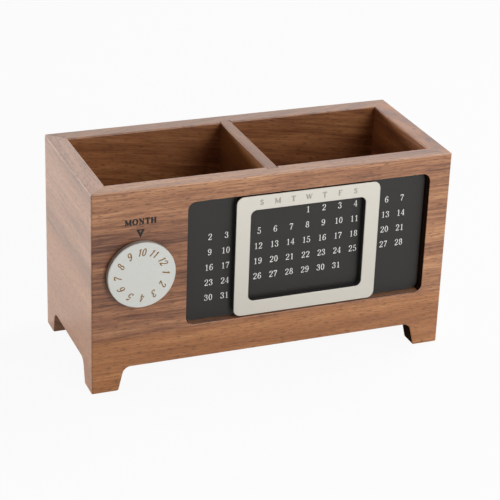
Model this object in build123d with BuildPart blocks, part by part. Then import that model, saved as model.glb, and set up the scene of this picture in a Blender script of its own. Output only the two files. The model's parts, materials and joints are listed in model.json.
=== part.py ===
from build123d import *
import os

# A walnut desk box on four legs. Two open compartments stand behind a front that carries a
# perpetual calendar, with a date plate and a frame that slides along it, and a month dial.
# Millimetres: +X right, +Y back, +Z up. The origin is on the floor, below the middle of the
# whole part, dial included.

# Case
case_length = 170.0
case_depth = 74.0
case_height = 96.0
board_thickness = 8.5
divider_thickness = 5.2
housing_share = 0.58  # depth of the divider's housing, of the wood left behind the recess
floor_thickness = 5.0
floor_groove_depth = 3.0
floor_groove_gap = 0.3  # room all round for the bottom board to swell
floor_lip = 3.7  # wood left between the arches and the groove
corner_radius = 0.8  # upright outer corners of the case
edge_radius = 0.6  # sanded edges

# Legs, cut from the four boards by an arch in each
arch_height = 11.3
long_foot_width = 12.4  # at the floor, in the front and back boards
side_foot_width = 11.0  # at the floor, in the side boards
foot_flare = 2.7  # a foot widens by this from the floor to the top of the arch
arch_corner_radius = 3.8
toe_radius = 1.0

# Date plate, let into the front board
date_columns = 13
weekdays = 7
column_pitch = 7.73
recess_from_right = 10.2
recess_from_top = 8.8
recess_end_gap = 0.4  # past the slider at each end of its travel
recess_side_gap = 0.75  # above and below the slider
recess_corner_radius = 3.8
recess_edge_radius = 0.25
plate_thickness = 0.8
plate_gap = 0.4  # to the recess walls
plate_end_gap = 1.0  # to the right end of the recess
adhesive_thickness = 0.2
adhesive_margin = 3.0

# Slider: a metal face frame on a black magnetic ring
slider_length = 69.0
slider_height = 57.9
slider_bar = 6.8
slider_corner_radius = 3.5
window_corner_radius = 2.8
slider_face_thickness = 0.5
slider_magnet_thickness = 2.7
slider_magnet_inset = 0.3
slider_bevel = 0.15
slide_gap = 0.2  # to the plate
slider_shift = -1.07  # its place at rest, from the middle of its travel

# Month dial: a disc whose hub turns in the front board, held by a screw and washer
dial_radius = 15.45
dial_thickness = 2.6
dial_bevel = 0.3
dial_from_left = 21.9
dial_from_top = 39.0
hub_radius = 3.0
hub_clearance = 0.05
end_play = 0.1
slip_washer_radius = 8.0
slip_washer_thickness = 0.4
slip_washer_gap = 0.2  # round the hub
retaining_washer_radius = 5.2
retaining_washer_thickness = 0.6
counterbore_gap = 0.8  # round the retaining washer
screw_radius = 1.5
screw_clearance = 0.05
screw_length = 4.0  # below the head
screw_head_radius = 2.8
screw_head_height = 1.4
screw_head_setback = 1.1  # from the head to the inner face of the board
screw_slot_width = 0.7
screw_slot_depth = 0.6
screw_slot_length = 3.2

# The case's place: the dial stands proud in front, so the case sits back by half of that
dial_back_gap = slip_washer_thickness + end_play
dial_proud = dial_thickness + dial_back_gap
case_y = dial_proud / 2
front_y = case_y - case_depth / 2
back_y = case_y + case_depth / 2
left_x = -case_length / 2
right_x = case_length / 2
inner_length = case_length - 2 * board_thickness
inner_depth = case_depth - 2 * board_thickness

# Bottom board
floor_bottom = arch_height + floor_lip
floor_top = floor_bottom + floor_thickness
groove_length = inner_length + 2 * floor_groove_depth
groove_width = inner_depth + 2 * floor_groove_depth

# Calendar recess: long enough for the slider to reach the first and the last week
slider_thickness = slider_face_thickness + slider_magnet_thickness
plate_face_depth = slider_thickness + slide_gap
recess_depth = plate_face_depth + plate_thickness + adhesive_thickness
slider_travel = (date_columns - weekdays) * column_pitch
recess_length = slider_length + slider_travel + 2 * recess_end_gap
recess_height = slider_height + 2 * recess_side_gap
plate_length = recess_length - plate_gap - plate_end_gap
plate_height = recess_height - 2 * plate_gap
recess_x = right_x - recess_from_right - recess_length / 2
recess_z = case_height - recess_from_top - recess_height / 2
slider_x = recess_x + slider_shift
window_length = slider_length - 2 * slider_bar
window_height = slider_height - 2 * slider_bar
housing_depth = housing_share * (board_thickness - recess_depth)
divider_length = inner_depth + 2 * housing_depth

# Month dial's hub and its counterbore, which is open to the inside of the box
dial_x = left_x + dial_from_left
dial_z = case_height - dial_from_top
counterbore_radius = retaining_washer_radius + counterbore_gap
counterbore_depth = end_play + retaining_washer_thickness + screw_head_height + screw_head_setback
hub_end = board_thickness - counterbore_depth + end_play  # behind the front face
screw_seat = hub_end + retaining_washer_thickness

# Planes: each face's own, looking out of the box, with its second direction upwards
front_plane = Plane(origin=(0, front_y, 0), x_dir=(1, 0, 0), z_dir=(0, -1, 0))
left_plane = Plane(origin=(left_x, case_y, 0), x_dir=(0, -1, 0), z_dir=(-1, 0, 0))
recess_plane = Plane(origin=(recess_x, front_y, recess_z), x_dir=(1, 0, 0), z_dir=(0, -1, 0))
slider_plane = Plane(origin=(slider_x, front_y, recess_z), x_dir=(1, 0, 0), z_dir=(0, -1, 0))
dial_plane = Plane(origin=(dial_x, front_y, dial_z))  # its second direction runs into the box
dial_axis = Axis((dial_x, front_y, dial_z), (0, 1, 0))
bore_plane = Plane(origin=(dial_x, front_y + board_thickness, dial_z), z_dir=(0, 1, 0))
screw_plane = Plane(origin=(dial_x, front_y + screw_seat + screw_head_height, dial_z), z_dir=(0, 1, 0))


def mitred_blank(plan_corners):
    # A board that stands on the floor, mitred at both ends, inside the rounded outline of the
    # case, with its part of the groove for the bottom board
    with BuildPart() as blank:
        with BuildSketch(Plane.XY):
            with BuildLine():
                Polyline(*plan_corners, close=True)
            make_face()
            with Locations((0, case_y)):
                RectangleRounded(case_length, case_depth, corner_radius, mode=Mode.INTERSECT)
        extrude(amount=case_height)
        with BuildSketch(Plane.XY.offset(floor_bottom)):
            with Locations((0, case_y)):
                Rectangle(groove_length, groove_width)
        extrude(amount=floor_thickness, mode=Mode.SUBTRACT)
    return blank.part


def arch_profile(board_length, foot_width):
    # The opening between two feet: it narrows upwards, with rounded upper corners
    half_floor = board_length / 2 - foot_width
    half_top = half_floor - foot_flare
    with BuildSketch() as arch:
        with BuildLine():
            Polyline(
                (-half_floor, 0), (-half_top, arch_height), (half_top, arch_height), (half_floor, 0),
                close=True,
            )
        make_face()
        fillet(arch.vertices().group_by(Axis.Y)[-1], arch_corner_radius)
    return arch.sketch


def legged_board(blank, face_plane, arch, outward, along):
    # Cuts the arch, rounds the toes, then sands the long edges of the outer face and the
    # inner top edge. The outer face is the board's lowest one along the outward axis.
    with BuildPart() as board:
        add(blank)
        with BuildSketch(face_plane):
            add(arch)
        extrude(amount=-board_thickness, mode=Mode.SUBTRACT)
        fillet(board.edges().group_by(Axis.Z)[0].filter_by(outward), toe_radius)
        outer_face = board.faces().filter_by(outward).sort_by(outward)[0]
        fillet(outer_face.edges().filter_by(Axis.Z, reverse=True), edge_radius)
        top_edges = board.edges().group_by(Axis.Z)[-1].filter_by(along)
        fillet(top_edges.sort_by(outward)[-1], edge_radius)
    return board.part


long_blank = mitred_blank(
    [
        (left_x, front_y),
        (right_x, front_y),
        (right_x - board_thickness, front_y + board_thickness),
        (left_x + board_thickness, front_y + board_thickness),
    ]
)
side_blank = mitred_blank(
    [
        (left_x, back_y),
        (left_x, front_y),
        (left_x + board_thickness, front_y + board_thickness),
        (left_x + board_thickness, back_y - board_thickness),
    ]
)
long_arch = arch_profile(case_length, long_foot_width)
side_arch = arch_profile(case_depth, side_foot_width)
legged_front = legged_board(long_blank, front_plane, long_arch, Axis.Y, Axis.X)
legged_left = legged_board(side_blank, left_plane, side_arch, Axis.X, Axis.Y)

# Front and back share one form, with the housing for the divider's end
with BuildPart() as housed_board:
    add(legged_front)
    with BuildSketch(Plane.XY.offset(floor_top)):
        with Locations((0, case_y)):
            Rectangle(divider_thickness, divider_length)
    extrude(amount=case_height - floor_top, mode=Mode.SUBTRACT)

with BuildPart() as front_board:
    add(housed_board.part)
    with BuildSketch(recess_plane):
        RectangleRounded(recess_length, recess_height, recess_corner_radius)
    extrude(amount=-recess_depth, mode=Mode.SUBTRACT)
    face_edges = front_board.faces().filter_by(Axis.Y).sort_by(Axis.Y)[0].inner_wires().edges()
    fillet(face_edges, recess_edge_radius)
    with Locations(bore_plane):
        CounterBoreHole(hub_radius + hub_clearance, counterbore_radius, counterbore_depth)

with BuildPart() as back_board:
    mirror(housed_board.part, about=Plane.XZ.offset(-case_y))

with BuildPart() as left_side_board:
    add(legged_left)

with BuildPart() as right_side_board:
    mirror(legged_left, about=Plane.YZ)

with BuildPart() as divider:
    with BuildSketch(Plane.XY.offset(floor_top)):
        with Locations((0, case_y)):
            Rectangle(divider_thickness, divider_length)
    extrude(amount=case_height - floor_top)
    fillet(divider.edges().group_by(Axis.Z)[-1].filter_by(Axis.Y), edge_radius)

with BuildPart() as bottom_board:
    with BuildSketch(Plane.XY.offset(floor_bottom)):
        with Locations((0, case_y)):
            Rectangle(groove_length - 2 * floor_groove_gap, groove_width - 2 * floor_groove_gap)
    extrude(amount=floor_thickness)

# The plate's back is stuck to the floor of the recess
with BuildPart() as plate_adhesive:
    with BuildSketch(recess_plane.offset(-recess_depth)):
        RectangleRounded(
            recess_length - 2 * adhesive_margin, recess_height - 2 * adhesive_margin, recess_corner_radius
        )
    extrude(amount=adhesive_thickness)

with BuildPart() as calendar_plate:
    with BuildSketch(recess_plane.offset(-plate_face_depth)):
        with Locations(((plate_gap - plate_end_gap) / 2, 0)):
            RectangleRounded(plate_length, plate_height, recess_corner_radius - plate_gap)
    extrude(amount=-plate_thickness)

# The slider's face is flush with the front board, and its ring stops short of the plate
with BuildPart() as slider_frame:
    with BuildSketch(slider_plane):
        RectangleRounded(slider_length, slider_height, slider_corner_radius)
        RectangleRounded(window_length, window_height, window_corner_radius, mode=Mode.SUBTRACT)
    extrude(amount=-slider_face_thickness)
    rims = slider_frame.faces().filter_by(Axis.Y).sort_by(Axis.Y)[0].edges()
    chamfer(rims, slider_bevel)

with BuildPart() as slider_magnet:
    with BuildSketch(slider_plane.offset(-slider_face_thickness)):
        RectangleRounded(slider_length, slider_height, slider_corner_radius)
        RectangleRounded(window_length, window_height, window_corner_radius, mode=Mode.SUBTRACT)
        offset(amount=-slider_magnet_inset, kind=Kind.ARC, mode=Mode.REPLACE)
    extrude(amount=-slider_magnet_thickness)

# The dial and its hub are turned in one piece: the profile gives (radius, depth behind the face)
with BuildPart() as month_dial:
    with BuildSketch(dial_plane) as dial_profile:
        with BuildLine():
            Polyline(
                (0, -dial_proud),
                (dial_radius, -dial_proud),
                (dial_radius, -dial_back_gap),
                (hub_radius, -dial_back_gap),
                (hub_radius, hub_end),
                (screw_radius + screw_clearance, hub_end),
                (screw_radius + screw_clearance, screw_seat - screw_length - screw_clearance),
                (0, screw_seat - screw_length - screw_clearance),
                close=True,
            )
        make_face()
        rim = dial_profile.vertices().group_by(Axis.X)[-1].sort_by(Axis.Y)[0]
        chamfer(rim, dial_bevel)
    revolve(axis=dial_axis)

with BuildPart() as dial_slip_washer:
    with BuildSketch(front_plane.offset(end_play)):
        with Locations((dial_x, dial_z)):
            Circle(slip_washer_radius)
            Circle(hub_radius + slip_washer_gap, mode=Mode.SUBTRACT)
    extrude(amount=slip_washer_thickness)

with BuildPart() as dial_retaining_washer:
    with BuildSketch(front_plane.offset(-screw_seat)):
        with Locations((dial_x, dial_z)):
            Circle(retaining_washer_radius)
            Circle(screw_radius + screw_clearance, mode=Mode.SUBTRACT)
    extrude(amount=retaining_washer_thickness)

with BuildPart() as dial_screw:
    with BuildSketch(dial_plane) as screw_profile:
        with BuildLine():
            Polyline(
                (0, screw_seat - screw_length),
                (screw_radius, screw_seat - screw_length),
                (screw_radius, screw_seat),
                (screw_head_radius, screw_seat),
                (screw_head_radius, screw_seat + screw_head_height),
                (0, screw_seat + screw_head_height),
                close=True,
            )
        make_face()
        crown = screw_profile.vertices().group_by(Axis.X)[-1].sort_by(Axis.Y)[-1]
        chamfer(crown, screw_head_height / 2, screw_head_radius / 3)
    revolve(axis=dial_axis)
    with BuildSketch(screw_plane):
        Rectangle(screw_slot_length, screw_slot_width)
        Rectangle(screw_slot_width, screw_slot_length)
    extrude(amount=-screw_slot_depth, mode=Mode.SUBTRACT)

pieces = {
    "front_board": front_board,
    "back_board": back_board,
    "left_side_board": left_side_board,
    "right_side_board": right_side_board,
    "divider": divider,
    "bottom_board": bottom_board,
    "plate_adhesive": plate_adhesive,
    "calendar_plate": calendar_plate,
    "slider_frame": slider_frame,
    "slider_magnet": slider_magnet,
    "month_dial": month_dial,
    "dial_slip_washer": dial_slip_washer,
    "dial_retaining_washer": dial_retaining_washer,
    "dial_screw": dial_screw,
}

os.makedirs("parts", exist_ok=True)
for name, piece in pieces.items():
    piece.part.label = name
    export_step(piece.part, f"parts/{name}.step")
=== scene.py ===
import json
import math
import bpy
import bmesh
from mathutils import Matrix, Vector
from mathutils.geometry import delaunay_2d_cdt

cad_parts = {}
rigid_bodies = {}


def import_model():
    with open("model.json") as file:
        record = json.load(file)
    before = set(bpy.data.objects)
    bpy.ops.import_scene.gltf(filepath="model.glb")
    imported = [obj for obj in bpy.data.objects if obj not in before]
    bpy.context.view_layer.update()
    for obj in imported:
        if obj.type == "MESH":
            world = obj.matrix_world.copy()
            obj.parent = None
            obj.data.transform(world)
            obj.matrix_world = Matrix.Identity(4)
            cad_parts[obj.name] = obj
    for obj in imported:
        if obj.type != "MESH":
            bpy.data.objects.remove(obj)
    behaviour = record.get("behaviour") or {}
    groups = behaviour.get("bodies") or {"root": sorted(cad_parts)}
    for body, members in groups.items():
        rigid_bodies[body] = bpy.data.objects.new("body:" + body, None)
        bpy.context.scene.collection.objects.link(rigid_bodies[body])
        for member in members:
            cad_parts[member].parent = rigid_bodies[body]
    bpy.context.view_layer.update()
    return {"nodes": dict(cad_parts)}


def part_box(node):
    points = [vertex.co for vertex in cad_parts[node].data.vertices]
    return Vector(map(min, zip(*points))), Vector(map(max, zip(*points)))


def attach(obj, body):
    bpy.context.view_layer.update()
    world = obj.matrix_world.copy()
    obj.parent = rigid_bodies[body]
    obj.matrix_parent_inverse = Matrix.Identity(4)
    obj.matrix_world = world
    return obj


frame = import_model()
nodes = frame["nodes"]
mm = 0.001
noiseSpread = (0.3, 0.7)  # most of a noise's values lie between these
print("frame loaded:", len(nodes), "pieces")


def linear(hexColour):
    # sRGB hex to linear RGBA
    channels = [int(hexColour[i:i + 2], 16) / 255 for i in (1, 3, 5)]
    return [c / 12.92 if c <= 0.04045 else ((c + 0.055) / 1.055) ** 2.4 for c in channels] + [1.0]


def addNode(tree, kind, inputs=(), **settings):
    # Adds one node: settings are its own values, and each input, by name or in order, is a
    # value or what is linked to it
    node = tree.nodes.new(kind)
    for key, value in settings.items():
        setattr(node, key, value)
    for key, value in inputs.items() if isinstance(inputs, dict) else enumerate(inputs):
        if isinstance(value, bpy.types.Node):
            value = value.outputs[0]
        if isinstance(value, bpy.types.NodeSocket):
            tree.links.new(value, node.inputs[key])
        else:
            node.inputs[key].default_value = value
    return node


def newMaterial(name):
    material = bpy.data.materials.new(name)
    material.use_nodes = True
    material.node_tree.nodes.clear()
    return material, material.node_tree


def setStops(ramp, stops):
    # Colours of a ramp, from {place: hex}
    elements = ramp.color_ramp.elements
    while len(elements) < len(stops):
        elements.new(0.5)
    for element, (place, colour) in zip(elements, sorted(stops.items())):
        element.position, element.color = place, linear(colour)


def dress(name, material):
    mesh = nodes[name].data
    mesh.materials.clear()
    mesh.materials.append(material)


# Walnut. Sizes are in mm, first along the grain and then across it.
walnut = {
    "wave": (100.0, 18.0),  # slow bends of the grain
    "waveHeight": 2.0,
    "band": (260.0, 8.0),  # broad darker and lighter bands
    "streak": (30.0, 1.15),  # growth lines, broken along the grain
    "fibre": (12.0, 0.5),
    "pore": (3.6, 0.42),  # real ones are half as wide: drawn coarse enough to show
    "heart": {0.05: "#532D1C", 0.3: "#7F5136", 0.5: "#986746", 0.7: "#AB7954", 0.95: "#C29168"},
    "sap": {0.1: "#87542E", 0.5: "#9E673D", 0.9: "#B57F50"},
    "sapEdge": (-1.0, 2.0),  # the change of colour starts and ends this far from its line
    "poreColour": "#3C2418",
    "poreFrom": (0.6, 0.7),  # the noise values between which a pore opens
    "poreDepth": 0.5,  # how dark it gets
    "contrast": {"band": 0.9, "streak": 0.95, "fibre": 0.5},  # how strongly each one shows
    # painted shade: the near-black of the shaded recess ends and arch walls
    "paintedShadeColour": "#33241B",
    "roughness": (0.37, 0.49),
    "bump": (0.4, 0.05),  # strength, and height in mm
    "poreBump": -2.0,  # how far a pore sinks, where the fibre's height is 1
    "lacquer": 1.0,  # thin satin lacquer over the oil
    "lacquerRoughness": 0.35,
    "underLacquer": 0.2,  # of the wood's own reflection when it is faced
    "bloom": 0.25,  # how pale the sanded surface turns at a low angle
    "bloomRoughness": 0.3,
}
# Where each board lay in the tree: the pith's place across the grain, how fast the rings step
# along it, how far from the pith the calmer sapwood starts, a shift that sets the figure
# apart, and the turn that brings the grain along the board. Then how light, how rich in
# colour and how strongly figured the board is. How light and how rich carry painted light:
# the left side board is painted paler and greyer for the sheen seen at a low angle, the right
# side board lighter to lift the shade on its inner face, and the back board and the divider
# darker and richer for the shade inside the box.
boards = {
    "front_board": {
        "pith": (150.0, 400.0), "taper": 0.004, "sap": 417.7, "shift": 0.0, "turn": 0,
        "value": 1.1, "richness": 1, "figure": 1,
    },
    "back_board": {
        "pith": (52.0, 58.0), "taper": 0.12, "sap": 900.0, "shift": 310.0, "turn": 0,
        # painted shade: darker and richer for the shade inside the box
        "value": 0.86, "richness": 1.07, "figure": 0.8,
    },
    "left_side_board": {
        "pith": (-100.0, 330.0), "taper": 0.01, "sap": 339.8, "shift": 620.0, "turn": 90,
        # painted sheen: paler and greyer for the sheen seen at a low angle
        "value": 1.5, "richness": 0.8, "figure": 0.5,
    },
    "right_side_board": {
        "pith": (-60.0, -160.0), "taper": 0.02, "sap": 900.0, "shift": 930.0, "turn": 90,
        # painted light: lighter to lift the shade on its inner face
        "value": 1.25, "richness": 1.1, "figure": 0.9,
    },
    "divider": {
        "pith": (30.0, 300.0), "taper": 0.02, "sap": 900.0, "shift": 1240.0, "turn": 90,
        # painted shade: darker and richer for the shade inside the box
        "value": 0.7, "richness": 1.25, "figure": 0.8,
    },
    "bottom_board": {
        "pith": (-20.0, 70.0), "taper": 0.05, "sap": 900.0, "shift": 1550.0, "turn": 0,
        "value": 0.8, "richness": 1, "figure": 1,
    },
}
# A darker patch of the heart: its middle along the grain and from the pith, its reach both
# ways, and its depth
darkPatch = {"front_board": (-60.0, 392.4, 75.0, 30.0, 0.16)}
# Painted shade: walls that lie deep in shade are painted nearly black. Boxes in mm that hold
# them: the ends of the calendar's recess, and the arch between the front feet
paintedShadeBoxes = {"front_board": [
    ((-43.0, -35.25, 28.4), (-38.9, -29.5, 88.7)),
    ((71.6, -35.25, 28.4), (76.2, -29.5, 88.7)),
    ((-77.0, -35.15, -1.0), (77.0, -20.0, 13.2)),
]}


def walnutMaterial(name, board):
    # American walnut, sanded and rubbed with a satin oil: warm brown with purplish dark streaks
    # and short open pores, and a soft sheen where it is seen at a low angle
    material, tree = newMaterial("oiled_walnut_" + name)
    place = addNode(tree, "ShaderNodeTexCoord").outputs["Object"]
    # Turned to mm, with the first direction along the grain
    grain = addNode(tree, "ShaderNodeMapping", {
        "Vector": place, "Location": (board["shift"], 0, 0),
        "Rotation": (0, 0, math.radians(-board["turn"])), "Scale": (1 / mm, 1 / mm, 1 / mm),
    })
    scales = {}
    for key in ("wave", "band", "streak", "fibre", "pore"):
        alongMm, acrossMm = walnut[key]
        scales[key] = (1 / alongMm, 1 / acrossMm, 1 / acrossMm)
    stretched = addNode(tree, "ShaderNodeMapping", {"Vector": grain, "Scale": scales["wave"]})
    wave = addNode(tree, "ShaderNodeTexNoise", {"Vector": stretched, "Scale": 1.0, "Detail": 3.0})

    # Distance from the pith, with the taper and the waves of the grain
    fromPith = addNode(tree, "ShaderNodeVectorMath", [grain, (0, *board["pith"])], operation="SUBTRACT")
    across = addNode(tree, "ShaderNodeVectorMath", [fromPith, (0, 1, 1)], operation="MULTIPLY")
    radius = addNode(tree, "ShaderNodeVectorMath", [across], operation="LENGTH")
    step = addNode(tree, "ShaderNodeVectorMath", [grain, (board["taper"], 0, 0)], operation="DOT_PRODUCT")
    both = [radius.outputs["Value"], step.outputs["Value"]]
    ring = addNode(tree, "ShaderNodeMath", both, operation="ADD")
    ring = addNode(tree, "ShaderNodeMath", [wave, walnut["waveHeight"], ring], operation="MULTIPLY_ADD")
    along = addNode(tree, "ShaderNodeSeparateXYZ", [grain])
    figure = addNode(tree, "ShaderNodeCombineXYZ", [along, ring])  # follows the rings

    tones = {}
    noises = (("band", 2.0, 0.5), ("streak", 3.0, 0.6), ("fibre", 2.0, 0.6), ("pore", 1.0, 0.5))
    for key, detail, roughness in noises:
        stretched = addNode(tree, "ShaderNodeMapping", {"Vector": figure, "Scale": scales[key]})
        tones[key] = addNode(tree, "ShaderNodeTexNoise", {
            "Vector": stretched, "Scale": 1.0, "Detail": detail, "Roughness": roughness,
        }, noise_dimensions="2D")
    heartEnd, sapStart = (board["sap"] + edge for edge in walnut["sapEdge"])
    sap = addNode(tree, "ShaderNodeMapRange", [ring, heartEnd, sapStart])
    tone = 0.5
    for key, strength in walnut["contrast"].items():
        strength *= board["figure"]
        centred = addNode(tree, "ShaderNodeMath", [tones[key], 0.5], operation="SUBTRACT")
        tone = addNode(tree, "ShaderNodeMath", [centred, strength, tone], operation="MULTIPLY_ADD")
    if name in darkPatch:
        x, fromPithMm, alongMm, acrossMm, depth = darkPatch[name]
        middle, shares = (x + board["shift"], fromPithMm, 0), (1 / alongMm, 1 / acrossMm, 0)
        patch = addNode(tree, "ShaderNodeVectorMath", [figure, middle], operation="SUBTRACT")
        patch = addNode(tree, "ShaderNodeVectorMath", [patch, shares], operation="MULTIPLY")
        patch = addNode(tree, "ShaderNodeVectorMath", [patch], operation="LENGTH").outputs["Value"]
        # Full depth to 0.4 of the reach, and gone at 1.1
        fade = [patch, 0.4, 1.1, depth, 0.0]
        deep = addNode(tree, "ShaderNodeMapRange", fade, interpolation_type="SMOOTHSTEP")
        tone = addNode(tree, "ShaderNodeMath", [tone, deep], operation="SUBTRACT")
    heart = addNode(tree, "ShaderNodeValToRGB", [tone])
    setStops(heart, walnut["heart"])
    pale = addNode(tree, "ShaderNodeValToRGB", [tone])
    setStops(pale, walnut["sap"])
    wood = addNode(tree, "ShaderNodeMix", {0: sap, 6: heart, 7: pale}, data_type="RGBA")
    opening = [tones["pore"], *walnut["poreFrom"], 0.0, walnut["poreDepth"]]
    pores = addNode(tree, "ShaderNodeMapRange", opening)
    toned = addNode(tree, "ShaderNodeHueSaturation", {
        "Saturation": board["richness"], "Value": board["value"], "Color": wood.outputs[2],
    })
    dark = linear(walnut["poreColour"])
    colour = addNode(tree, "ShaderNodeMix", {0: pores, 6: toned, 7: dark}, data_type="RGBA")

    uneven = [tones["fibre"], *noiseSpread, *walnut["roughness"]]
    roughness = addNode(tree, "ShaderNodeMapRange", uneven)
    sunk = [pores, walnut["poreBump"], tones["fibre"]]
    height = addNode(tree, "ShaderNodeMath", sunk, operation="MULTIPLY_ADD")
    strength, heightMm = walnut["bump"]
    bump = addNode(tree, "ShaderNodeBump", {
        "Height": height, "Strength": strength, "Distance": heightMm * mm,
    })
    shader = addNode(tree, "ShaderNodeBsdfPrincipled", {
        "Base Color": colour.outputs[2], "Roughness": roughness, "Normal": bump, "IOR": 1.5,
        "Coat Weight": walnut["lacquer"], "Coat Roughness": walnut["lacquerRoughness"],
        "Sheen Weight": walnut["bloom"], "Sheen Roughness": walnut["bloomRoughness"],
        "Specular Tint": [walnut["underLacquer"]] * 3 + [1.0],
    })
    # Painted shade: inside these boxes the wood is painted matt, nearly black and bare of lacquer
    paintedShade = addNode(tree, "ShaderNodeBsdfDiffuse", [linear(walnut["paintedShadeColour"])])
    sides = addNode(tree, "ShaderNodeSeparateXYZ", [place])
    for box in paintedShadeBoxes.get(name, []):
        inside = 1.0
        for axis, start, end in zip("XYZ", *box):
            middle, half = (start + end) / 2 * mm, (end - start) / 2 * mm
            span = [sides.outputs[axis], middle, half]
            within = addNode(tree, "ShaderNodeMath", span, operation="COMPARE")
            inside = addNode(tree, "ShaderNodeMath", [within, inside], operation="MULTIPLY")
        shader = addNode(tree, "ShaderNodeMixShader", [inside, shader, paintedShade])
    addNode(tree, "ShaderNodeOutputMaterial", [shader])
    return material


for boardName, board in boards.items():
    dress(boardName, walnutMaterial(boardName, board))
print("walnut boards done")


# Finishes of the other pieces: colour, roughness, metallic, IOR, grain of the surface in mm,
# how much its colour varies, and how high the grain stands in mm
finishes = {
    # dead flat black with a fine orange peel
    "powder_coated_steel": ("#110E0B", 0.45, 0.0, 1.5, 0.5, 0.1, 0.01),
    # pale, warm and satin, with softly lit bevels
    "bead_blasted_aluminium": ("#CDC9C0", 0.42, 1.0, None, 0.35, 0.015, 0.004),
    # matt and almost black, with a trace of the roller
    "rolled_magnetic_rubber": ("#141313", 0.75, 0.0, 1.52, 0.6, 0.1, 0.01),
    # milky and waxy
    "punched_nylon": ("#D9D6CA", 0.5, 0.0, 1.53, 0.8, 0.02, 0.0),
    # bright grey, slightly mottled
    "zinc_plated_steel": ("#BDBDBA", 0.3, 1.0, None, 0.3, 0.05, 0.003),
    # cloudy film, seen only when the plate is off
    "acrylic_adhesive_film": ("#C9C4B4", 0.6, 0.0, 1.48, 0.8, 0.03, 0.0),
    # opaque white ink with soft edges
    "screen_printed_white_ink": ("#E6E6E2", 0.5, 0.0, 1.5, 0.3, 0.02, 0.0),
    # brown-gold ink, a little metallic to the eye
    "screen_printed_bronze_ink": ("#85602A", 0.42, 0.0, 1.5, 0.3, 0.08, 0.0),
    # marks etched into the blasted face: greyer and duller than it
    "laser_etched_aluminium": ("#9D978D", 0.6, 0.0, 1.5, 0.3, 0.04, 0.0),
    # charred, matt, and a little uneven as the grain burns
    "laser_burnt_walnut": ("#190E09", 0.75, 0.0, 1.5, 0.4, 0.25, 0.0),
    # wood burnt more lightly: a flat mid brown
    "laser_toned_walnut": ("#755540", 0.7, 0.0, 1.5, 0.4, 0.2, 0.0),
}
broadMm = 40  # slow unevenness over every one of them
glossSpread = 0.04  # how far each one's roughness varies


def finish(name):
    colour, roughness, metallic, ior, grainMm, variation, bumpMm = finishes[name]
    material, tree = newMaterial(name)
    place = addNode(tree, "ShaderNodeTexCoord").outputs["Object"]
    fineScale, broadScale = 1 / (grainMm * mm), 1 / (broadMm * mm)
    fine = addNode(tree, "ShaderNodeTexNoise", {"Vector": place, "Scale": fineScale, "Detail": 3.0})
    broad = addNode(tree, "ShaderNodeTexNoise", {"Vector": place, "Scale": broadScale, "Detail": 2.0})
    both = addNode(tree, "ShaderNodeMath", [fine, broad], operation="ADD")
    least, most = (2 * edge for edge in noiseSpread)
    value = addNode(tree, "ShaderNodeMapRange", [both, least, most, 1 - variation, 1 + variation])
    tint = addNode(tree, "ShaderNodeHueSaturation", {"Value": value, "Color": linear(colour)})
    uneven = [fine, *noiseSpread, roughness - glossSpread, roughness + glossSpread]
    gloss = addNode(tree, "ShaderNodeMapRange", uneven)
    surface = {"Base Color": tint, "Roughness": gloss, "Metallic": metallic}
    if ior:
        surface["IOR"] = ior
    if bumpMm:
        surface["Normal"] = addNode(tree, "ShaderNodeBump", {"Height": fine, "Distance": bumpMm * mm})
    addNode(tree, "ShaderNodeOutputMaterial", [addNode(tree, "ShaderNodeBsdfPrincipled", surface)])
    return material


materials = {name: finish(name) for name in finishes}

dialFace = {
    "paint": "#D3D4CF",
    "metal": "#B3B1A9",
    "metalShine": 0.3,  # blasted so fine that it scatters more than it mirrors
    "paintDepth": 0.25,  # mm behind the face that the paint reaches round the edge
    "edgeMm": 0.08,  # over which the paint ends
    "latheMm": 0.25,  # turning marks; real ones are about 0.1, too fine to show
    "latheDepth": 0.01,
    "latheShades": (0.75, 1.2),  # darkest and brightest of them
    "mottleMm": 1.2,  # of the paint
    "mottleShades": (0.985, 1.015),
    "roughness": (0.4, 0.3),  # of the paint and of the metal
}


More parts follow.
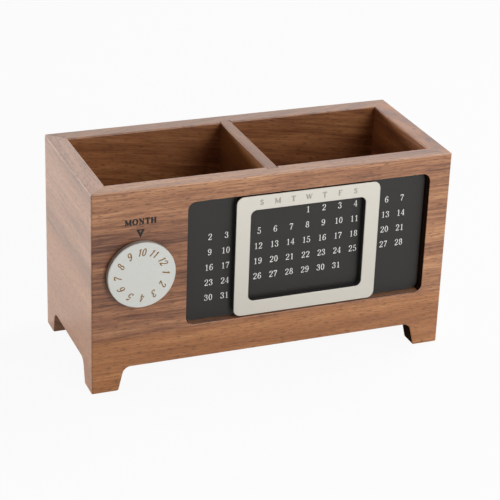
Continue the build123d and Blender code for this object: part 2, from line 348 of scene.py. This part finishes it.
def dialMaterial():
    # A turned aluminium disc with its face enamelled off-white: dull light grey round the side,
    # with fine rings from the lathe, and a thin brighter edge where the paint rolls over
    values = dialFace
    material, tree = newMaterial("enamelled_aluminium")
    place = addNode(tree, "ShaderNodeTexCoord").outputs["Object"]
    depth = addNode(tree, "ShaderNodeSeparateXYZ", [place]).outputs["Y"]
    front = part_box("month_dial")[0][1] + values["paintDepth"] * mm
    bare = addNode(tree, "ShaderNodeMapRange", [depth, front, front + values["edgeMm"] * mm])
    turned = addNode(tree, "ShaderNodeTexNoise", {
        "W": depth, "Scale": 1 / (values["latheMm"] * mm), "Detail": 2.0,
    }, noise_dimensions="1D")
    mottle = addNode(tree, "ShaderNodeTexNoise", {
        "Vector": place, "Scale": 1 / (values["mottleMm"] * mm), "Detail": 3.0,
    })
    bright = addNode(tree, "ShaderNodeMapRange", [turned, *noiseSpread, *values["latheShades"]])
    metal = addNode(tree, "ShaderNodeHueSaturation", {"Value": bright, "Color": linear(values["metal"])})
    even = addNode(tree, "ShaderNodeMapRange", [mottle, *noiseSpread, *values["mottleShades"]])
    paint = addNode(tree, "ShaderNodeHueSaturation", {"Value": even, "Color": linear(values["paint"])})
    colour = addNode(tree, "ShaderNodeMix", {0: bare, 6: paint, 7: metal}, data_type="RGBA")
    roughness = addNode(tree, "ShaderNodeMapRange", [bare, 0.0, 1.0, *values["roughness"]])
    height = addNode(tree, "ShaderNodeMath", [turned, bare], operation="MULTIPLY")
    bump = addNode(tree, "ShaderNodeBump", {"Height": height, "Distance": values["latheDepth"] * mm})
    shine = addNode(tree, "ShaderNodeMath", [bare, values["metalShine"]], operation="MULTIPLY")
    shader = addNode(tree, "ShaderNodeBsdfPrincipled", {
        "Base Color": colour.outputs[2], "Metallic": shine, "Roughness": roughness,
        "Normal": bump, "IOR": 1.5,
    })
    addNode(tree, "ShaderNodeOutputMaterial", [shader])
    return material


dress("month_dial", dialMaterial())
for pieceName, materialName in {
    "calendar_plate": "powder_coated_steel",
    "plate_adhesive": "acrylic_adhesive_film",
    "slider_frame": "bead_blasted_aluminium",
    "slider_magnet": "rolled_magnetic_rubber",
    "dial_slip_washer": "punched_nylon",
    "dial_retaining_washer": "zinc_plated_steel",
    "dial_screw": "zinc_plated_steel",
}.items():
    dress(pieceName, materials[materialName])
print("other finishes done")


# Lettering. A character is a few strokes in a box one unit high with its middle at x = 0:
# (kind, weight, points). The pen is wide across and thin up and down, so that uprights come
# out thick and level strokes thin. The weight makes one stroke heavier or lighter.
low, high = 0.025, 0.975


def oval(x, y, rx, ry, steps=28):
    angles = [math.tau * i / steps for i in range(steps + 1)]
    return ("line", 1.0, [(x + rx * math.sin(angle), y + ry * math.cos(angle)) for angle in angles])


def serif(x, y, half=0.13):
    return ("line", 1.0, [(x - half, y), (x + half, y)])


characters = {
    "0": [oval(0, 0.5, 0.19, 0.475)],
    "1": [
        ("line", 1, [(0.02, 0), (0.02, 0.98)]),
        ("curve", 0.7, [(-0.17, 0.79), (-0.07, 0.86), (0.02, 0.96)]), serif(0.02, low, 0.17),
    ],
    "2": [
        ("curve", 1, [
            (-0.19, 0.76), (-0.12, 0.91), (0, high), (0.14, 0.91),
            (0.19, 0.74), (0.13, 0.54), (0, 0.35), (-0.2, 0.06),
        ]),
        ("dot", 0.075, [(-0.17, 0.77)]), ("line", 2.0, [(-0.23, 0.05), (0.19, 0.05)]),
        ("line", 0.5, [(0.17, 0.04), (0.25, 0.19)]),
    ],
    "3": [
        ("curve", 1, [
            (-0.18, 0.79), (-0.1, 0.93), (0.01, high), (0.13, 0.9), (0.16, 0.75), (0.1, 0.6), (-0.05, 0.53),
        ]),
        ("curve", 1, [
            (-0.05, 0.53), (0.11, 0.48), (0.19, 0.29), (0.14, 0.1), (0, low), (-0.13, 0.06), (-0.2, 0.18),
        ]),
        ("dot", 0.075, [(-0.17, 0.79)]), ("dot", 0.075, [(-0.18, 0.19)]),
    ],
    "4": [
        ("line", 0.45, [(0.09, 0.98), (-0.24, 0.28)]), ("line", 1.3, [(-0.25, 0.28), (0.25, 0.28)]),
        ("line", 1, [(0.09, 0), (0.09, 0.98)]), serif(0.09, low),
    ],
    "5": [
        ("line", 2.2, [(-0.13, 0.945), (0.18, 0.945)]), ("line", 0.45, [(-0.13, 0.96), (-0.17, 0.54)]),
        ("curve", 1, [
            (-0.17, 0.54), (-0.02, 0.61), (0.13, 0.53), (0.19, 0.32),
            (0.13, 0.1), (-0.01, low), (-0.14, 0.06), (-0.2, 0.17),
        ]),
        ("dot", 0.075, [(-0.17, 0.17)]),
    ],
    "6": [
        ("curve", 1, [(0.17, 0.88), (0.06, high), (-0.1, 0.84), (-0.19, 0.55), (-0.19, 0.3)]),
        oval(0, 0.3, 0.19, 0.275), ("dot", 0.07, [(0.15, 0.86)]),
    ],
    "7": [
        ("line", 2.6, [(-0.22, 0.935), (0.21, 0.935)]), ("line", 0.5, [(-0.2, 0.97), (-0.24, 0.76)]),
        ("curve", 0.85, [(0.2, 0.93), (0.06, 0.56), (-0.04, 0.25), (-0.06, 0)]),
    ],
    "8": [oval(0, 0.745, 0.15, 0.23), oval(0, 0.27, 0.19, 0.245)],
    "9": [
        ("curve", 1, [(-0.17, 0.12), (-0.06, low), (0.1, 0.16), (0.19, 0.45), (0.19, 0.7)]),
        oval(0, 0.7, 0.19, 0.275), ("dot", 0.07, [(-0.15, 0.14)]),
    ],
    "F": [
        ("line", 1, [(-0.16, 0), (-0.16, 0.98)]), ("line", 1.2, [(-0.16, high), (0.24, high)]),
        ("line", 1.2, [(-0.16, 0.52), (0.12, 0.52)]), ("line", 0.6, [(0.24, 0.99), (0.27, 0.78)]),
        serif(-0.16, low, 0.15), serif(-0.2, high, 0.1),
    ],
    "H": [
        *[("line", 1, [(x, 0), (x, 0.98)]) for x in (-0.25, 0.25)],
        *[serif(x, y, 0.14) for x in (-0.25, 0.25) for y in (low, high)],
        ("line", 1.3, [(-0.25, 0.5), (0.25, 0.5)]),
    ],
    "M": [
        ("line", 0.5, [(-0.36, 0), (-0.36, 0.98)]), ("line", 1, [(-0.36, 0.98), (0, 0.08)]),
        ("line", 0.5, [(0, 0.08), (0.35, 0.98)]), ("line", 1, [(0.36, 0), (0.36, 0.98)]),
        serif(-0.36, low), serif(0.37, low, 0.14), serif(-0.41, high, 0.09), serif(0.41, high, 0.1),
    ],
    "N": [
        ("line", 0.5, [(-0.27, 0), (-0.27, 0.98)]), ("line", 1, [(-0.28, 0.98), (0.27, 0.03)]),
        ("line", 0.5, [(0.27, 0), (0.27, 0.98)]),
        serif(-0.27, low), serif(-0.33, high, 0.09), serif(0.27, high),
    ],
    "O": [oval(0, 0.5, 0.34, 0.475)],
    "S": [
        ("curve", 1, [
            (0.17, 0.8), (0.1, 0.93), (-0.03, high), (-0.16, 0.87), (-0.17, 0.71), (-0.04, 0.57),
            (0.1, 0.46), (0.18, 0.29), (0.13, 0.1), (-0.02, low), (-0.13, 0.06), (-0.19, 0.22),
        ]),
        ("line", 0.5, [(0.18, 0.96), (0.18, 0.74)]), ("line", 0.5, [(-0.2, 0.04), (-0.2, 0.26)]),
    ],
    "T": [
        ("line", 1, [(0, 0), (0, 0.98)]), ("line", 1.3, [(-0.31, high), (0.31, high)]),
        ("line", 0.6, [(-0.31, 0.99), (-0.34, 0.78)]), ("line", 0.6, [(0.31, 0.99), (0.34, 0.78)]),
        serif(0, low, 0.16),
    ],
    "W": [
        ("line", 1, [(-0.45, 0.98), (-0.21, 0.02)]), ("line", 0.5, [(-0.21, 0.02), (0, 0.98)]),
        ("line", 1, [(0, 0.98), (0.22, 0.02)]), ("line", 0.5, [(0.22, 0.02), (0.44, 0.98)]),
        serif(-0.45, high, 0.12), serif(0, high, 0.1), serif(0.44, high, 0.11),
    ],
}
# The dial's figures are script-like: no foot under the 1, a curved head on the 7
dialCharacters = dict(characters)
dialCharacters["1"] = characters["1"][:2]
dialCharacters["7"] = [
    ("curve", 1.6, [(-0.24, 0.86), (-0.12, 0.95), (0.02, 0.9), (0.22, 0.93)]),
    ("line", 0.6, [(-0.23, 0.9), (-0.26, 0.76)]),
    ("curve", 0.85, [(0.2, 0.93), (0.06, 0.62), (-0.04, 0.3), (-0.07, 0)]),
]
inkThickness = 0.01  # of a character's height
dotSides = 16


def throughPoints(points, steps=7):
    # A smooth line through given points
    firstEnd = tuple(2 * a - b for a, b in zip(points[0], points[1]))
    lastEnd = tuple(2 * a - b for a, b in zip(points[-1], points[-2]))
    ends = [firstEnd] + points + [lastEnd]
    line = []
    for p0, p1, p2, p3 in zip(ends, ends[1:], ends[2:], ends[3:]):
        for i in range(steps):
            t = i / steps
            line.append(tuple(0.5 * (
                2 * b + (c - a) * t
                + (2 * a - 5 * b + 4 * c - d) * t * t + (3 * b - a - 3 * c + d) * t ** 3
            ) for a, b, c, d in zip(p0, p1, p2, p3)))
    return line + [points[-1]]


def characterMesh(name, strokes, pen, slant, width):
    # All the strokes as one flat outline, given a small thickness. The pen is (thick, thin),
    # slant leans the character to the right, and width stretches it sideways.
    corners, faces = [], []
    for kind, weight, points in strokes:
        if kind == "dot":
            faces.append([len(corners) + i for i in range(dotSides)])
            x, y = points[0]
            angles = [math.tau * i / dotSides for i in range(dotSides)]
            corners += [(x + weight * math.cos(angle), y + weight * math.sin(angle)) for angle in angles]
            continue
        line = throughPoints(points) if kind == "curve" else points
        closed = math.dist(line[0], line[-1]) < 1e-6
        for i, (x, y) in enumerate(line):
            before = line[(i - 1) % (len(line) - 1)] if closed else line[max(i - 1, 0)]
            after = line[(i + 1) % (len(line) - 1)] if closed else line[min(i + 1, len(line) - 1)]
            alongX, alongY = Vector((after[0] - before[0], after[1] - before[1])).normalized()
            half = 0.5 * weight * math.hypot(pen[0] * alongY, pen[1] * alongX)
            corners += [(x - alongY * half, y + alongX * half), (x + alongY * half, y - alongX * half)]
            if i:
                n = len(corners)
                faces.append([n - 4, n - 3, n - 1, n - 2])
    flat = [Vector((width * x + slant * (y - 0.5), y - 0.5)) for x, y in corners]
    points, _, triangles, _, _, sources = delaunay_2d_cdt(flat, [], faces, 1, 1e-5, True)
    form = bmesh.new()
    made = [form.verts.new((p.x, p.y, 0)) for p in points]
    for triangle, source in zip(triangles, sources):
        if source:
            form.faces.new([made[i] for i in triangle])
    bmesh.ops.delete(form, geom=[v for v in form.verts if not v.link_faces], context="VERTS")
    bmesh.ops.dissolve_limit(form, angle_limit=0.002, verts=form.verts, edges=form.edges)
    lifted = bmesh.ops.extrude_face_region(form, geom=list(form.faces))
    for item in lifted["geom"]:
        if isinstance(item, bmesh.types.BMVert):
            item.co.z = inkThickness
    bmesh.ops.recalc_face_normals(form, faces=form.faces)
    bmesh.ops.triangulate(form, faces=form.faces)
    mesh = bpy.data.meshes.new(name)
    form.to_mesh(mesh)
    form.free()
    return mesh


def characterSet(source, wanted, pen, slant=0.0, width=1.0):
    # Characters in a collection outside the scene, in the order of their names
    group = bpy.data.collections.new("characters")
    for character in sorted(set(wanted)):
        name = "character" + character
        mesh = characterMesh(name, source[character], pen, slant, width)
        group.objects.link(bpy.data.objects.new(name, mesh))
    return group


def clearSet(group):
    for item in list(group.objects):
        mesh = item.data
        bpy.data.objects.remove(item)
        bpy.data.meshes.remove(mesh)
    bpy.data.collections.remove(group)


def newPiece(name, mesh, material, body):
    mesh.name = name
    mesh.materials.clear()
    mesh.materials.append(material)
    piece = bpy.data.objects.new(name, mesh)
    bpy.context.scene.collection.objects.link(piece)
    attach(piece, body)


def standOnFront(mesh, x, y, z):
    # Turns a flat drawing, with its top up the page, to face forwards at a place
    mesh.transform(Matrix.Translation((x, y, z)) @ Matrix.Rotation(math.radians(90), 4, "X"))


def newGraph(name, inputs):
    # A geometry node tree with named inputs: the tree, its inputs and their identifiers
    tree = bpy.data.node_groups.new(name, "GeometryNodeTree")
    identifiers = {}
    for label, kind in inputs.items():
        socket = tree.interface.new_socket(label, in_out="INPUT", socket_type="NodeSocket" + kind)
        identifiers[label] = socket.identifier
    tree.interface.new_socket("Geometry", in_out="OUTPUT", socket_type="NodeSocketGeometry")
    return tree, addNode(tree, "NodeGroupInput").outputs, identifiers


def runGraph(tree, identifiers, values):
    # Runs a tree and returns what it makes as a plain mesh
    holder = bpy.data.objects.new("holder", bpy.data.meshes.new("holder"))
    bpy.context.scene.collection.objects.link(holder)
    modifier = holder.modifiers.new("graph", "NODES")
    modifier.node_group = tree
    for label, value in values.items():
        modifier[identifiers[label]] = value
    evaluated = holder.evaluated_get(bpy.context.evaluated_depsgraph_get())
    mesh = bpy.data.meshes.new_from_object(evaluated)
    holder.modifiers.remove(modifier)
    bpy.data.objects.remove(holder)
    return mesh


def addNumbers(tree, given, points, number, turn, lean=0.0):
    # One or two digits at each point, for the number that the point stands for. A pair leans
    # to the left of the point by this share of the digits' pitch.
    tenth = addNode(tree, "ShaderNodeMath", [number, 10.0], operation="DIVIDE")
    tens = addNode(tree, "ShaderNodeMath", [tenth], operation="FLOOR")
    ones = addNode(tree, "ShaderNodeMath", [number, 10.0], operation="FLOORED_MODULO")
    hasTens = addNode(tree, "ShaderNodeMath", [tens, 0.5], operation="GREATER_THAN")
    step = addNode(tree, "ShaderNodeMath", [given["Digit Pitch"], hasTens], operation="MULTIPLY")
    digits = addNode(tree, "GeometryNodeCollectionInfo", {
        "Collection": given["Digits"], "Separate Children": True, "Reset Children": True,
    })
    joined = addNode(tree, "GeometryNodeJoinGeometry")
    for digit, side, chosen in ((ones, 0.5 - lean, True), (tens, -0.5 - lean, hasTens)):
        index = addNode(tree, "FunctionNodeFloatToInt", [digit], rounding_mode="ROUND")
        placed = addNode(tree, "GeometryNodeInstanceOnPoints", {
            "Points": points, "Selection": chosen, "Instance": digits, "Pick Instance": True,
            "Instance Index": index, "Rotation": turn, "Scale": given["Digit Height"],
        })
        aside = addNode(tree, "ShaderNodeMath", [step, side], operation="MULTIPLY")
        offset = addNode(tree, "ShaderNodeCombineXYZ", [aside])
        moved = addNode(tree, "GeometryNodeTranslateInstances", {
            "Instances": placed, "Translation": offset, "Local Space": True,
        })
        tree.links.new(moved.outputs[0], joined.inputs[0])
    real = addNode(tree, "GeometryNodeRealizeInstances", [joined])
    inked = addNode(tree, "GeometryNodeSetMaterial", {"Geometry": real, "Material": given["Ink"]})
    addNode(tree, "NodeGroupOutput", [inked])


dateGrid = {
    "columns": 13,
    "rows": 6,
    "columnPitch": 7.73,
    "rowPitch": 7.4,
    "topRow": 75.5,  # height of the first row's middle
    "digitHeight": 3.0,
    "digitPitch": 0.7,  # of the digit height
    "firstColumn": 6,  # columns before the first day in the first row
    "lastDay": 31,
    "shift": 0.2,  # from the plate's middle
    "width": 1.12,  # stretches the digits sideways
    "lean": 0.08,
    "pen": (0.105, 0.05),
}


def buildDates():
    values = dateGrid
    tree, given, identifiers = newGraph("dateGrid", {
        "Digits": "Collection", "Ink": "Material", "Columns": "Int", "Rows": "Int",
        "Column Pitch": "Float", "Row Pitch": "Float", "Digit Height": "Float", "Digit Pitch": "Float",
        "First Column": "Int", "Last Day": "Int",
    })
    spans, middles = {}, {}
    for count, pitch in (("Columns", "Column Pitch"), ("Rows", "Row Pitch")):
        steps = addNode(tree, "ShaderNodeMath", [given[count], 1.0], operation="SUBTRACT")
        spans[count] = addNode(tree, "ShaderNodeMath", [steps, given[pitch]], operation="MULTIPLY")
        middles[count] = addNode(tree, "ShaderNodeMath", [steps, 0.5], operation="MULTIPLY")
    size = [spans["Columns"], spans["Rows"], given["Columns"], given["Rows"]]
    grid = addNode(tree, "GeometryNodeMeshGrid", size)
    place = addNode(tree, "ShaderNodeSeparateXYZ", [addNode(tree, "GeometryNodeInputPosition")])
    x, y = place.outputs["X"], place.outputs["Y"]
    across = addNode(tree, "ShaderNodeMath", [x, given["Column Pitch"]], operation="DIVIDE")
    column = addNode(tree, "ShaderNodeMath", [across, middles["Columns"]], operation="ADD")
    up = addNode(tree, "ShaderNodeMath", [y, given["Row Pitch"]], operation="DIVIDE")
    row = addNode(tree, "ShaderNodeMath", [middles["Rows"], up], operation="SUBTRACT")
    # Each row starts a week, seven days, after the one above it
    fromCorner = addNode(tree, "ShaderNodeMath", [row, 7.0, column], operation="MULTIPLY_ADD")
    before = addNode(tree, "ShaderNodeMath", [given["First Column"], 1.0], operation="SUBTRACT")
    day = addNode(tree, "ShaderNodeMath", [fromCorner, before], operation="SUBTRACT")
    day = addNode(tree, "ShaderNodeMath", [day], operation="ROUND")
    started = addNode(tree, "ShaderNodeMath", [day, 0.5], operation="GREATER_THAN")
    afterLast = addNode(tree, "ShaderNodeMath", [day, given["Last Day"]], operation="GREATER_THAN")
    real = addNode(tree, "ShaderNodeMath", [started, afterLast], operation="GREATER_THAN")
    points = addNode(tree, "GeometryNodeMeshToPoints", {"Mesh": grid, "Selection": real})
    addNumbers(tree, given, points, day, (0, 0, 0), values["lean"])

    digits = characterSet(characters, "0123456789", values["pen"], width=values["width"])
    mesh = runGraph(tree, identifiers, {
        "Digits": digits, "Ink": materials["screen_printed_white_ink"],
        "Columns": values["columns"], "Rows": values["rows"],
        "Column Pitch": values["columnPitch"] * mm, "Row Pitch": values["rowPitch"] * mm,
        "Digit Height": values["digitHeight"] * mm, "Digit Pitch": values["digitPitch"],
        "First Column": values["firstColumn"], "Last Day": values["lastDay"],
    })
    clearSet(digits)
    (x0, y0, z0), (x1, y1, z1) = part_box("calendar_plate")
    middleZ = values["topRow"] - (values["rows"] - 1) / 2 * values["rowPitch"]
    standOnFront(mesh, (x0 + x1) / 2 + values["shift"] * mm, y0, middleZ * mm)
    newPiece("date_numbers", mesh, materials["screen_printed_white_ink"], "case")


buildDates()
print("date numbers done")

dialNumerals = {
    "count": 12,
    "ringRadius": 10.95,
    "digitHeight": 3.5,
    "digitPitch": 0.56,  # of the digit height
    "atTop": 10,
    "turn": 0.0,  # degrees clockwise that the dial stands past the pointer
    "slant": 0.22,
    "pen": (0.165, 0.085),
}


def buildDialNumerals():
    values = dialNumerals
    tree, given, identifiers = newGraph("dialNumerals", {
        "Digits": "Collection", "Ink": "Material", "Count": "Int", "Radius": "Float", "At Top": "Int",
        "Turn": "Float", "Digit Height": "Float", "Digit Pitch": "Float",
    })
    index = addNode(tree, "GeometryNodeInputIndex")
    share = addNode(tree, "ShaderNodeMath", [index, given["Count"]], operation="DIVIDE")
    angle = addNode(tree, "ShaderNodeMath", [share, math.tau, given["Turn"]], operation="MULTIPLY_ADD")
    place = []
    for side in ("SINE", "COSINE"):
        unit = addNode(tree, "ShaderNodeMath", [angle], operation=side)
        place.append(addNode(tree, "ShaderNodeMath", [unit, given["Radius"]], operation="MULTIPLY"))
    around = addNode(tree, "ShaderNodeCombineXYZ", place)
    points = addNode(tree, "GeometryNodePoints", [given["Count"], around])
    fromFirst = addNode(tree, "ShaderNodeMath", [index, given["At Top"]], operation="ADD")
    fromFirst = addNode(tree, "ShaderNodeMath", [fromFirst, 1.0], operation="SUBTRACT")
    wrapped = addNode(tree, "ShaderNodeMath", [fromFirst, given["Count"]], operation="FLOORED_MODULO")
    number = addNode(tree, "ShaderNodeMath", [wrapped, 1.0], operation="ADD")
    # Each numeral's top points outwards
    clockwise = addNode(tree, "ShaderNodeMath", [angle, -1.0], operation="MULTIPLY")
    turn = addNode(tree, "ShaderNodeCombineXYZ", {"Z": clockwise})
    addNumbers(tree, given, points, number, turn)

    digits = characterSet(dialCharacters, "0123456789", values["pen"], values["slant"])
    mesh = runGraph(tree, identifiers, {
        "Digits": digits, "Ink": materials["screen_printed_bronze_ink"],
        "Count": values["count"], "Radius": values["ringRadius"] * mm,
        "At Top": values["atTop"], "Turn": math.radians(values["turn"]),
        "Digit Height": values["digitHeight"] * mm, "Digit Pitch": values["digitPitch"],
    })
    clearSet(digits)
    (x0, y0, z0), (x1, y1, z1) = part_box("month_dial")
    standOnFront(mesh, (x0 + x1) / 2, y0, (z0 + z1) / 2)
    newPiece("dial_numerals", mesh, materials["screen_printed_bronze_ink"], "dial")


buildDialNumerals()
print("dial numerals done")


def joinPlaced(placed):
    # One flat drawing from (mesh, x, scale)
    form = bmesh.new()
    for mesh, x, scale in placed:
        copy = mesh.copy()
        copy.transform(Matrix.Translation((x, 0, 0)) @ Matrix.Scale(scale, 4))
        form.from_mesh(copy)
        bpy.data.meshes.remove(copy)
    mesh = bpy.data.meshes.new("drawing")
    form.to_mesh(mesh)
    form.free()
    return mesh


weekInitials = {
    "letters": "SMTWTFS",
    "height": 2.4,
    "pitch": 7.5,
    "middle": 83.2,  # height above the floor
    "shift": -0.3,  # from the slider's middle
    "width": 1.2,
    "pen": (0.22, 0.12),
}


def buildInitials():
    values = weekInitials
    group = characterSet(characters, values["letters"], values["pen"], width=values["width"])
    first = values["shift"] - (len(values["letters"]) - 1) / 2 * values["pitch"]
    placed = []
    for i, letter in enumerate(values["letters"]):
        mesh = group.objects["character" + letter].data
        placed.append((mesh, (first + i * values["pitch"]) * mm, values["height"] * mm))
    mesh = joinPlaced(placed)
    clearSet(group)
    (x0, y0, z0), (x1, y1, z1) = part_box("slider_frame")
    standOnFront(mesh, (x0 + x1) / 2, y0, values["middle"] * mm)
    newPiece("weekday_initials", mesh, materials["laser_etched_aluminium"], "slider")


buildInitials()

monthMark = {
    "word": "MONTH",
    "height": 2.65,
    "gap": 0.25,  # between its letters
    "width": 1.1,
    "pen": (0.31, 0.15),
    "middleX": -62.95,
    "wordZ": 81.2,
    "line": (3.7, 0.2),  # length and thickness
    "lineZ": 78.75,
    "pointer": (3.9, 3.9),  # width and height
    "pointerTop": 77.5,
    "pointerRim": 0.5,  # width of the darker rim round the pointer's paler middle
    "proud": 0.03,  # of the wood, so that the marks show
    "middleProud": 0.05,
}


def burntShape(name, outline, proud, material):
    # A flat shape on the front board from its corners, (across, up) in mm
    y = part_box("front_board")[0][1]
    form = bmesh.new()
    face = form.faces.new([form.verts.new((a * mm, y, b * mm)) for a, b in outline])
    for item in bmesh.ops.extrude_face_region(form, geom=[face])["geom"]:
        if isinstance(item, bmesh.types.BMVert):
            item.co.y = y - proud * mm
    bmesh.ops.recalc_face_normals(form, faces=form.faces)
    mesh = bpy.data.meshes.new(name)
    form.to_mesh(mesh)
    form.free()
    newPiece(name, mesh, materials[material], "case")


def buildMonthMark():
    # The word, a short rule and the pointer over the dial, burnt into the front board
    values = monthMark
    group = characterSet(characters, values["word"], values["pen"], width=values["width"])
    placed, x = [], 0.0
    for letter in values["word"]:
        mesh = group.objects["character" + letter].data
        left, right = (pick(v.co.x for v in mesh.vertices) * values["height"] * mm for pick in (min, max))
        placed.append((mesh, x - left, values["height"] * mm))
        x += right - left + values["gap"] * mm
    mesh = joinPlaced(placed)
    clearSet(group)
    width = x - values["gap"] * mm
    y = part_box("front_board")[0][1]
    standOnFront(mesh, values["middleX"] * mm - width / 2, y, values["wordZ"] * mm)
    newPiece("month_word", mesh, materials["laser_burnt_walnut"], "case")

    x = values["middleX"]
    half, thick = values["line"][0] / 2, values["line"][1] / 2
    z = values["lineZ"]
    rule = [(x - half, z - thick), (x + half, z - thick), (x + half, z + thick), (x - half, z + thick)]
    burntShape("month_rule", rule, values["proud"], "laser_burnt_walnut")
    half, tall = values["pointer"][0] / 2, values["pointer"][1]
    top, rim = values["pointerTop"], values["pointerRim"]
    pointer = [(x, top - tall), (x + half, top), (x - half, top)]
    burntShape("month_pointer", pointer, values["proud"], "laser_burnt_walnut")
    # The inner triangle keeps the rim's width on all three sides
    slope = math.hypot(half, tall) / half
    innerHalf = half - rim * (slope + half / tall)
    innerTall = innerHalf * tall / half
    top -= rim
    inner = [(x, top - innerTall), (x + innerHalf, top), (x - innerHalf, top)]
    burntShape("month_pointer_middle", inner, values["middleProud"], "laser_toned_walnut")


buildMonthMark()
print("initials and month mark done")

studio = {
    "background": "#FDFDFD",
    "ambient": 0.11,
    "floor": "#F6F6F4",
    "floorHalf": 3.0,  # m from its middle to each edge
    "floorGlow": 0.95,  # how far the floor shows as backdrop where it is looked at
    "floorReflected": 0.1,  # and where it is reflected
    # name: place, width, height, watts
    "lamps": {
        "key": ((0.33, -0.74, 0.43), 0.35, 0.35, 4.0),
        "front": ((0.6, -1.9, 0.2), 0.5, 0.3, 4.5),
        "left": ((-1.6, 1.2, 0.2), 1.2, 0.15, 30.0),
        "top": ((0.7, 0.25, 0.9), 0.5, 0.5, 7.6),
    },
    "target": (0, 0, 0.05),
    "cameraPlace": (-0.27866, -0.69296, 0.38870),
    "cameraTurn": (65.183, -1.928, -21.182),
    "lens": 127.25,  # mm
}


def seenOrReflected(tree):
    # Two values: 1 where a surface is looked at, also reflected or through glass, and 1 only
    # where it is looked at straight
    rays = addNode(tree, "ShaderNodeLightPath").outputs
    seen = addNode(tree, "ShaderNodeMath", [rays["Is Camera Ray"], rays["Is Glossy Ray"]], operation="ADD")
    through = [seen, rays["Is Transmission Ray"]]
    seen = addNode(tree, "ShaderNodeMath", through, operation="ADD", use_clamp=True)
    return seen, rays["Is Camera Ray"]


def buildStudio():
    values = studio
    scene = bpy.context.scene
    world = bpy.data.worlds.new("studio")
    scene.world = world
    world.use_nodes = True
    tree = world.node_tree
    tree.nodes.clear()
    # The backdrop is white where it is looked at or reflected, and on the object a soft light
    seen = seenOrReflected(tree)[0]
    soft = addNode(tree, "ShaderNodeBackground", [linear("#FFFFFF"), values["ambient"]])
    white = addNode(tree, "ShaderNodeBackground", [linear(values["background"]), 1.0])
    addNode(tree, "ShaderNodeOutputWorld", [addNode(tree, "ShaderNodeMixShader", [seen, soft, white])])

    # Painted board: seen or reflected it is partly the backdrop's white, and keeps a faint shadow
    material, tree = newMaterial("painted_backdrop_board")
    seen, looked = seenOrReflected(tree)
    share = [looked, 0.0, 1.0, values["floorReflected"], values["floorGlow"]]
    share = addNode(tree, "ShaderNodeMapRange", share)
    share = addNode(tree, "ShaderNodeMath", [seen, share], operation="MULTIPLY")
    matt = addNode(tree, "ShaderNodeBsdfDiffuse", [linear(values["floor"])])
    glow = addNode(tree, "ShaderNodeEmission", [linear(values["background"]), 1.0])
    addNode(tree, "ShaderNodeOutputMaterial", [addNode(tree, "ShaderNodeMixShader", [share, matt, glow])])
    form = bmesh.new()
    bmesh.ops.create_grid(form, x_segments=1, y_segments=1, size=values["floorHalf"])
    mesh = bpy.data.meshes.new("floor")
    form.to_mesh(mesh)
    form.free()
    mesh.materials.append(material)
    floor = bpy.data.objects.new("floor", mesh)
    scene.collection.objects.link(floor)

    for name, (place, width, height, watts) in values["lamps"].items():
        lamp = bpy.data.lights.new(name, "AREA")
        lamp.shape = "RECTANGLE"
        lamp.size, lamp.size_y, lamp.energy = width, height, watts
        holder = bpy.data.objects.new(name, lamp)
        holder.location = place
        aim = Vector(values["target"]) - Vector(place)
        holder.rotation_euler = aim.to_track_quat("-Z", "Y").to_euler()
        scene.collection.objects.link(holder)

    scene.view_settings.view_transform = "Standard"
    lens = bpy.data.cameras.new("camera")
    lens.lens = values["lens"]
    camera = bpy.data.objects.new("camera", lens)
    camera.location = values["cameraPlace"]
    camera.rotation_euler = [math.radians(angle) for angle in values["cameraTurn"]]
    scene.collection.objects.link(camera)
    scene.camera = camera


buildStudio()
print("studio done")

bpy.context.view_layer.update()
